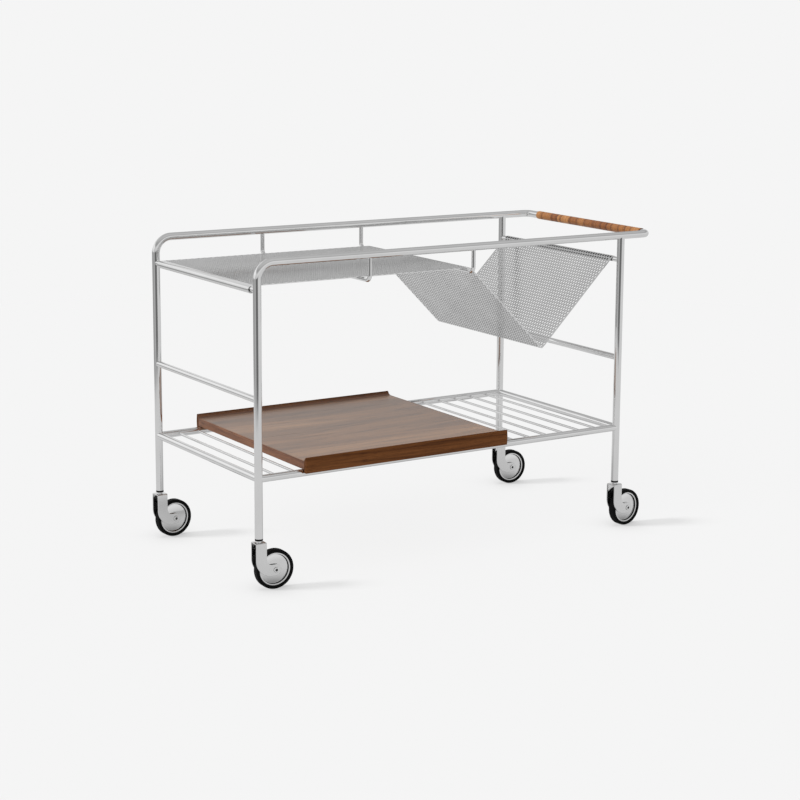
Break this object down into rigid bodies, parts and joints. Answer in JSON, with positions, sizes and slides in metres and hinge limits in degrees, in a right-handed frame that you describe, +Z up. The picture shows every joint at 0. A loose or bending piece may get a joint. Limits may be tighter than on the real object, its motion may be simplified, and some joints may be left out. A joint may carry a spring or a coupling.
{
  "type": "bar cart",
  "caption": "Bar cart of bent chrome tube with a folded perforated shelf and V pocket, a wire shelf with a sliding wooden tray, a cane-wrapped push handle and swivel castors.",
  "frame": {"origin": "on the floor under the middle of the cart", "axes": "+X towards the push handle, +Y to the back, +Z up"},
  "size_m": [0.9202, 0.45, 0.6162],
  "materials": {
    "chrome": "polished chrome plate",
    "perforated_steel": "chrome-plated perforated sheet",
    "walnut": "oiled walnut",
    "cane": "wound cane strip",
    "black_plastic": "moulded black plastic",
    "tyre": "black rubber",
    "steel": "zinc-plated steel"
  },
  "bodies": {
    "frame": {"frame_tube": "chrome", "right_leg_front": "chrome", "right_leg_back": "chrome", "hem_rod_left": "chrome", "hem_rod_right": "chrome", "mid_bar_left": "chrome", "mid_bar_right": "chrome", "shelf_rail_front": "chrome", "shelf_rail_back": "chrome", "shelf_end_left": "chrome", "shelf_end_right": "chrome", "shelf_wires": "chrome", "folded_sheet": "perforated_steel", "support_rod_near": "chrome", "support_rod_fold": "chrome", "grip_core": "cane", "grip_strand": "cane", "leg_insert_front_left": "black_plastic", "leg_insert_back_left": "black_plastic", "leg_insert_front_right": "black_plastic", "leg_insert_back_right": "black_plastic"},
    "tray": {"tray_board": "walnut", "tray_lip_front": "walnut", "tray_lip_back": "walnut"},
    "swivel_front_left": {"fork_front_left": "chrome", "stem_front_left": "steel", "axle_bolt_front_left": "chrome", "axle_nut_front_left": "steel"},
    "wheel_front_left": {"wheel_core_front_left": "black_plastic", "hub_caps_front_left": "chrome", "tyre_front_left": "tyre"},
    "swivel_back_left": {"fork_back_left": "chrome", "stem_back_left": "steel", "axle_bolt_back_left": "chrome", "axle_nut_back_left": "steel"},
    "wheel_back_left": {"wheel_core_back_left": "black_plastic", "hub_caps_back_left": "chrome", "tyre_back_left": "tyre"},
    "swivel_front_right": {"fork_front_right": "chrome", "stem_front_right": "steel", "axle_bolt_front_right": "chrome", "axle_nut_front_right": "steel"},
    "wheel_front_right": {"wheel_core_front_right": "black_plastic", "hub_caps_front_right": "chrome", "tyre_front_right": "tyre"},
    "swivel_back_right": {"fork_back_right": "chrome", "stem_back_right": "steel", "axle_bolt_back_right": "chrome", "axle_nut_back_right": "steel"},
    "wheel_back_right": {"wheel_core_back_right": "black_plastic", "hub_caps_back_right": "chrome", "tyre_back_right": "tyre"}
  },
  "joints": [
    {"name": "tray_slide", "type": "slide", "parent": "frame", "child": "tray", "axis": [1, 0, 0], "range_m": [-0.083, 0.277]},
    {"name": "swivel_front_left", "type": "hinge", "parent": "frame", "child": "swivel_front_left", "pos_m": [-0.4506, -0.208, 0.075], "axis": [0, 0, 1], "continuous": true},
    {"name": "wheel_front_left", "type": "hinge", "parent": "swivel_front_left", "child": "wheel_front_left", "pos_m": [-0.42114, -0.20954, 0.0375], "axis": [0.0523, 0.9986, 0], "continuous": true},
    {"name": "swivel_back_left", "type": "hinge", "parent": "frame", "child": "swivel_back_left", "pos_m": [-0.4506, 0.208, 0.075], "axis": [0, 0, 1], "continuous": true},
    {"name": "wheel_back_left", "type": "hinge", "parent": "swivel_back_left", "child": "wheel_back_left", "pos_m": [-0.42117, 0.21006, 0.0375], "axis": [-0.0698, 0.9976, 0], "continuous": true},
    {"name": "swivel_front_right", "type": "hinge", "parent": "frame", "child": "swivel_front_right", "pos_m": [0.3794, -0.208, 0.075], "axis": [0, 0, 1], "continuous": true},
    {"name": "wheel_front_right", "type": "hinge", "parent": "swivel_front_right", "child": "wheel_front_right", "pos_m": [0.40874, -0.20492, 0.0375], "axis": [-0.1045, 0.9945, 0], "continuous": true},
    {"name": "swivel_back_right", "type": "hinge", "parent": "frame", "child": "swivel_back_right", "pos_m": [0.3794, 0.208, 0.075], "axis": [0, 0, 1], "continuous": true},
    {"name": "wheel_back_right", "type": "hinge", "parent": "swivel_back_right", "child": "wheel_back_right", "pos_m": [0.40887, 0.20671, 0.0375], "axis": [0.0436, 0.999, 0], "continuous": true}
  ]
}
